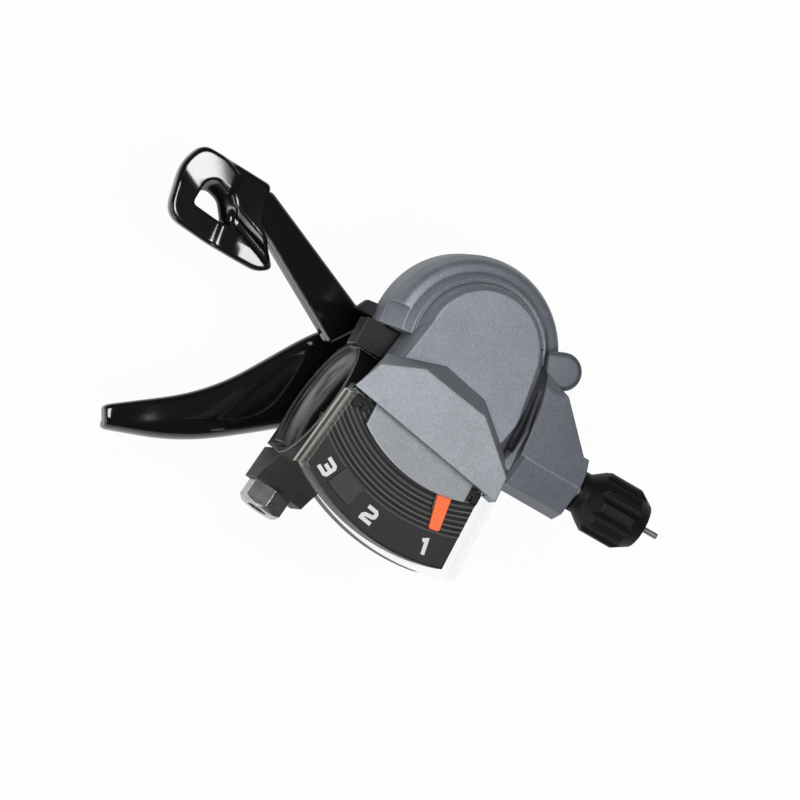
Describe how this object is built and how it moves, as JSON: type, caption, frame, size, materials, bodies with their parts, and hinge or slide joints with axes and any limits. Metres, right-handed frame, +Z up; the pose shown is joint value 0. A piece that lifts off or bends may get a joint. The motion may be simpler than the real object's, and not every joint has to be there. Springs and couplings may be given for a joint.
{
  "type": "trigger gear shifter",
  "caption": "Handlebar trigger gear shifter with clamp ring, thumb lever, release lever, ratchet drum, gear display with needle, and a cable adjuster.",
  "frame": {"origin": "centre line of the clamp bore, inside the clamp ring", "axes": "+X along the handlebar towards the cable side (the cable itself leaves at 6.8 degrees to the bar), +Y to the front of the bicycle, +Z up along the lever pivot"},
  "size_m": [0.111, 0.0676, 0.0499],
  "materials": {
    "cover_paint": "satin metallic grey paint",
    "hood_paint": "satin light grey paint",
    "housing_plastic": "matte black",
    "clamp_plastic": "matte charcoal",
    "display_black": "matte black",
    "clear_plastic": "clear, polished",
    "needle_orange": "orange",
    "lever_plastic": "semi-gloss black",
    "arm_paint": "gloss black enamel",
    "knob_plastic": "matte black",
    "bright_steel": "bright plated",
    "plain_steel": "zinc plated",
    "spring_steel": "oiled",
    "drum_plastic": "natural nylon",
    "alloy": "machined"
  },
  "bodies": {
    "mount_and_case": {"clamp_band": "clamp_plastic", "clamp_bolt": "bright_steel", "clamp_screws": "plain_steel", "lower_housing": "housing_plastic", "cover_screws": "plain_steel", "top_cover": "cover_paint", "tray_screws": "plain_steel", "display_hood": "hood_paint", "display_mask": "cover_paint", "display_tray": "display_black", "number_plate": "display_black", "display_window": "clear_plastic", "main_axle": "plain_steel", "axle_washer": "plain_steel", "axle_nut": "plain_steel", "drum_spring": "spring_steel", "lever_spring": "spring_steel", "release_spring": "spring_steel", "base_plate": "plain_steel", "base_screws": "plain_steel", "retaining_pawl_pin": "plain_steel"},
    "thumb_lever": {"main_lever": "lever_plastic", "lever_sleeve": "plain_steel", "pawl_carrier": "plain_steel", "feed_pawl_pin": "plain_steel"},
    "feed_pawl_body": {"feed_pawl": "plain_steel"},
    "holding_pawl_body": {"retaining_pawl": "plain_steel"},
    "release_lever": {"release_arm": "arm_paint", "release_pad": "lever_plastic"},
    "drum": {"cable_drum": "drum_plastic", "ratchet_wheel": "plain_steel", "cable_end": "plain_steel", "indicator_arm": "plain_steel", "indicator_needle": "needle_orange"},
    "cable": {"inner_cable": "plain_steel"},
    "adjuster": {"adjuster_knob": "knob_plastic", "adjuster_stem": "alloy"}
  },
  "joints": [
    {"name": "thumb_lever_turn", "type": "hinge", "parent": "mount_and_case", "child": "thumb_lever", "pos_m": [0.01069, 0.02182, 0], "axis": [0, 0, 1], "range_deg": [-40, 0], "stiffness_Nm_per_rad": 0.06, "springref_deg": 22.92},
    {"name": "feed_pawl_turn", "type": "hinge", "parent": "thumb_lever", "child": "feed_pawl_body", "pos_m": [0.01127, 0.0322, 0], "axis": [0, 0, 1], "range_deg": [-10, 0], "stiffness_Nm_per_rad": 0.0005, "springref_deg": 17.19},
    {"name": "holding_pawl_turn", "type": "hinge", "parent": "mount_and_case", "child": "holding_pawl_body", "pos_m": [0.02041, 0.02551, 0], "axis": [0, 0, 1], "range_deg": [-10, 0], "stiffness_Nm_per_rad": 0.0005, "springref_deg": 17.19},
    {"name": "release_lever_turn", "type": "hinge", "parent": "mount_and_case", "child": "release_lever", "pos_m": [0.01069, 0.02182, 0], "axis": [0, 0, 1], "range_deg": [-12, 12], "stiffness_Nm_per_rad": 0.06},
    {"name": "drum_turn", "type": "hinge", "parent": "mount_and_case", "child": "drum", "pos_m": [0.01069, 0.02182, 0], "axis": [0, 0, 1], "range_deg": [-38.4, 0]},
    {"name": "cable_slide", "type": "slide", "parent": "mount_and_case", "child": "cable", "axis": [0.993, 0.1184, 0], "range_m": [-0.0086, 0.0001]},
    {"name": "adjuster_turn", "type": "hinge", "parent": "mount_and_case", "child": "adjuster", "pos_m": [0.04674, 0.01343, 0.017], "axis": [0.993, 0.1184, 0], "continuous": true}
  ],
  "couplings": [
    {"joint": "cable_slide", "follows": "drum_turn", "m_per_rad": 0.0126}
  ]
}
